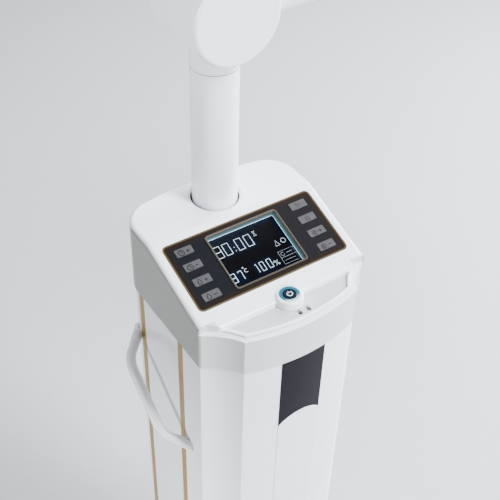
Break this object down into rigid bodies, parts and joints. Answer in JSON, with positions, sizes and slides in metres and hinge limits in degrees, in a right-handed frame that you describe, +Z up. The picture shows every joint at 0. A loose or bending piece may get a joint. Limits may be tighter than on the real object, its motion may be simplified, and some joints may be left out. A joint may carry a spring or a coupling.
{
  "type": "light therapy machine",
  "caption": "Wheeled column machine with a sloped keypad and display head, side handles, a mast, a jointed arm and a lamp with two folding wings.",
  "frame": {"origin": "on the floor under the middle of the column", "axes": "+X to the right (the arm's side at rest), +Y to the back, +Z up; the keypad faces -Y and up"},
  "size_m": [0.995, 0.5104, 1.168],
  "materials": {
    "head_plastic": "white moulded plastic, satin gloss",
    "base_plastic": "white moulded plastic, satin gloss",
    "column_paint": "white powder paint, smooth satin",
    "mast_paint": "white powder paint, smooth satin",
    "arm_paint": "white powder paint, smooth satin",
    "handle_paint": "white powder paint",
    "dark_strip": "dark grey satin plastic",
    "white_strip": "white glossy plastic",
    "inset_gloss": "white glossy plastic",
    "gold_trim": "gold anodised aluminium, fine brushed",
    "overlay_print": "dark brown printed film with a bronze border line",
    "bezel_bronze": "bronze tinted aluminium",
    "display_glass": "black display glass, lit",
    "circuit_green": "green circuit board",
    "key_silver": "silver grey satin key",
    "ring_glow": "translucent ring, lit cyan",
    "button_blue": "dark blue cap with a white power symbol",
    "indicator_dark": "dark indicator lens",
    "steel": "turned steel",
    "plate_steel": "black painted steel plate",
    "supply_case": "perforated aluminium case",
    "inlet_black": "black moulded plastic",
    "screw_steel": "plated screw",
    "caster_grey": "dark grey moulded nylon",
    "wheel_tread": "grey rubber tread",
    "pedal_red": "dark grey nylon",
    "lamp_plastic": "white moulded plastic, satin gloss",
    "lens_clear": "clear acrylic",
    "led_white": "white circuit board with diodes"
  },
  "bodies": {
    "cabinet": {"base_plate": "plate_steel", "base_cover": "base_plastic", "column_shell": "column_paint", "front_strip_dark": "dark_strip", "front_strip_white": "white_strip", "side_insets": "inset_gloss", "gold_trims": "gold_trim", "handle_left": "handle_paint", "handle_right": "handle_paint", "rear_cover": "column_paint", "cover_screws": "screw_steel", "mains_inlet": "inlet_black", "mast_bracket": "plate_steel", "power_supply": "supply_case", "head_shell": "head_plastic", "keypad_overlay": "overlay_print", "lcd_bezel": "bezel_bronze", "lcd_module": "display_glass", "control_board": "circuit_green", "button_ring": "ring_glow", "indicator_lights": "indicator_dark", "mast_tube": "mast_paint", "swivel_spindle": "steel"},
    "key_left_1": {"key_left_1": "key_silver"},
    "key_left_2": {"key_left_2": "key_silver"},
    "key_left_3": {"key_left_3": "key_silver"},
    "key_left_4": {"key_left_4": "key_silver"},
    "key_right_1": {"key_right_1": "key_silver"},
    "key_right_2": {"key_right_2": "key_silver"},
    "key_right_3": {"key_right_3": "key_silver"},
    "key_right_4": {"key_right_4": "key_silver"},
    "power_button": {"power_button": "button_blue"},
    "elbow": {"elbow_housing": "arm_paint", "elbow_cap_front": "arm_paint", "elbow_cap_rear": "arm_paint", "elbow_axle": "steel"},
    "arm": {"arm_knuckle": "arm_paint", "arm_tube": "arm_paint"},
    "yoke": {"lamp_yoke": "arm_paint", "wrist_axle": "steel"},
    "lamp": {"lamp_body": "lamp_plastic", "hinge_pins": "steel", "led_board_centre": "led_white", "lens_centre": "lens_clear"},
    "wing_left": {"wing_left": "lamp_plastic", "led_board_left": "led_white", "lens_left": "lens_clear"},
    "wing_right": {"wing_right": "lamp_plastic", "led_board_right": "led_white", "lens_right": "lens_clear"},
    "caster_fork_front_left": {"caster_fork_front_left": "caster_grey"},
    "caster_wheel_front_left": {"caster_wheel_front_left": "wheel_tread"},
    "brake_pedal_front_left": {"brake_pedal_front_left": "pedal_red"},
    "caster_fork_front_right": {"caster_fork_front_right": "caster_grey"},
    "caster_wheel_front_right": {"caster_wheel_front_right": "wheel_tread"},
    "brake_pedal_front_right": {"brake_pedal_front_right": "pedal_red"},
    "caster_fork_rear_left": {"caster_fork_rear_left": "caster_grey"},
    "caster_wheel_rear_left": {"caster_wheel_rear_left": "wheel_tread"},
    "caster_fork_rear_right": {"caster_fork_rear_right": "caster_grey"},
    "caster_wheel_rear_right": {"caster_wheel_rear_right": "wheel_tread"}
  },
  "joints": [
    {"name": "key_left_1_press", "type": "slide", "parent": "cabinet", "child": "key_left_1", "axis": [0, 0.309, -0.9511], "range_m": [0, 0.0005], "stiffness_N_per_m": 600, "springref_m": -0.0008},
    {"name": "key_left_2_press", "type": "slide", "parent": "cabinet", "child": "key_left_2", "axis": [0, 0.309, -0.9511], "range_m": [0, 0.0005], "stiffness_N_per_m": 600, "springref_m": -0.0008},
    {"name": "key_left_3_press", "type": "slide", "parent": "cabinet", "child": "key_left_3", "axis": [0, 0.309, -0.9511], "range_m": [0, 0.0005], "stiffness_N_per_m": 600, "springref_m": -0.0008},
    {"name": "key_left_4_press", "type": "slide", "parent": "cabinet", "child": "key_left_4", "axis": [0, 0.309, -0.9511], "range_m": [0, 0.0005], "stiffness_N_per_m": 600, "springref_m": -0.0008},
    {"name": "key_right_1_press", "type": "slide", "parent": "cabinet", "child": "key_right_1", "axis": [0, 0.309, -0.9511], "range_m": [0, 0.0005], "stiffness_N_per_m": 600, "springref_m": -0.0008},
    {"name": "key_right_2_press", "type": "slide", "parent": "cabinet", "child": "key_right_2", "axis": [0, 0.309, -0.9511], "range_m": [0, 0.0005], "stiffness_N_per_m": 600, "springref_m": -0.0008},
    {"name": "key_right_3_press", "type": "slide", "parent": "cabinet", "child": "key_right_3", "axis": [0, 0.309, -0.9511], "range_m": [0, 0.0005], "stiffness_N_per_m": 600, "springref_m": -0.0008},
    {"name": "key_right_4_press", "type": "slide", "parent": "cabinet", "child": "key_right_4", "axis": [0, 0.309, -0.9511], "range_m": [0, 0.0005], "stiffness_N_per_m": 600, "springref_m": -0.0008},
    {"name": "power_button_press", "type": "slide", "parent": "cabinet", "child": "power_button", "axis": [0, 0, -1], "range_m": [0, 0.0015], "stiffness_N_per_m": 1200, "springref_m": -0.001},
    {"name": "elbow_swivel", "type": "hinge", "parent": "cabinet", "child": "elbow", "pos_m": [0, 0.07, 1.058], "axis": [0, 0, 1], "range_deg": [-170, 170]},
    {"name": "elbow_tilt", "type": "hinge", "parent": "elbow", "child": "arm", "pos_m": [0, 0.07, 1.1215], "axis": [0, -1, 0], "range_deg": [0, 35]},
    {"name": "wrist_tilt", "type": "hinge", "parent": "arm", "child": "yoke", "pos_m": [0.62, 0.07, 1.1215], "axis": [0, -1, 0], "range_deg": [-20, 60]},
    {"name": "lamp_turn", "type": "hinge", "parent": "yoke", "child": "lamp", "pos_m": [0.62, 0.07, 1.0035], "axis": [0, 0, 1], "range_deg": [-90, 90]},
    {"name": "wing_left_fold", "type": "hinge", "parent": "lamp", "child": "wing_left", "pos_m": [0.62, 0.152, 0.984], "axis": [-1, 0, 0], "range_deg": [-20, 45]},
    {"name": "wing_right_fold", "type": "hinge", "parent": "lamp", "child": "wing_right", "pos_m": [0.62, -0.012, 0.984], "axis": [1, 0, 0], "range_deg": [-20, 45]},
    {"name": "caster_swivel_front_left", "type": "hinge", "parent": "cabinet", "child": "caster_fork_front_left", "pos_m": [-0.155, -0.176, 0.075], "axis": [0, 0, 1], "continuous": true},
    {"name": "caster_roll_front_left", "type": "hinge", "parent": "caster_fork_front_left", "child": "caster_wheel_front_left", "pos_m": [-0.155, -0.154, 0.03], "axis": [1, 0, 0], "continuous": true},
    {"name": "brake_press_front_left", "type": "hinge", "parent": "caster_fork_front_left", "child": "brake_pedal_front_left", "pos_m": [-0.155, -0.146, 0.066], "axis": [-1, 0, 0], "range_deg": [0, 5]},
    {"name": "caster_swivel_front_right", "type": "hinge", "parent": "cabinet", "child": "caster_fork_front_right", "pos_m": [0.155, -0.176, 0.075], "axis": [0, 0, 1], "continuous": true},
    {"name": "caster_roll_front_right", "type": "hinge", "parent": "caster_fork_front_right", "child": "caster_wheel_front_right", "pos_m": [0.155, -0.154, 0.03], "axis": [1, 0, 0], "continuous": true},
    {"name": "brake_press_front_right", "type": "hinge", "parent": "caster_fork_front_right", "child": "brake_pedal_front_right", "pos_m": [0.155, -0.146, 0.066], "axis": [-1, 0, 0], "range_deg": [0, 5]},
    {"name": "caster_swivel_rear_left", "type": "hinge", "parent": "cabinet", "child": "caster_fork_rear_left", "pos_m": [-0.155, 0.154, 0.075], "axis": [0, 0, 1], "continuous": true},
    {"name": "caster_roll_rear_left", "type": "hinge", "parent": "caster_fork_rear_left", "child": "caster_wheel_rear_left", "pos_m": [-0.155, 0.176, 0.03], "axis": [1, 0, 0], "continuous": true},
    {"name": "caster_swivel_rear_right", "type": "hinge", "parent": "cabinet", "child": "caster_fork_rear_right", "pos_m": [0.155, 0.154, 0.075], "axis": [0, 0, 1], "continuous": true},
    {"name": "caster_roll_rear_right", "type": "hinge", "parent": "caster_fork_rear_right", "child": "caster_wheel_rear_right", "pos_m": [0.155, 0.176, 0.03], "axis": [1, 0, 0], "continuous": true}
  ]
}
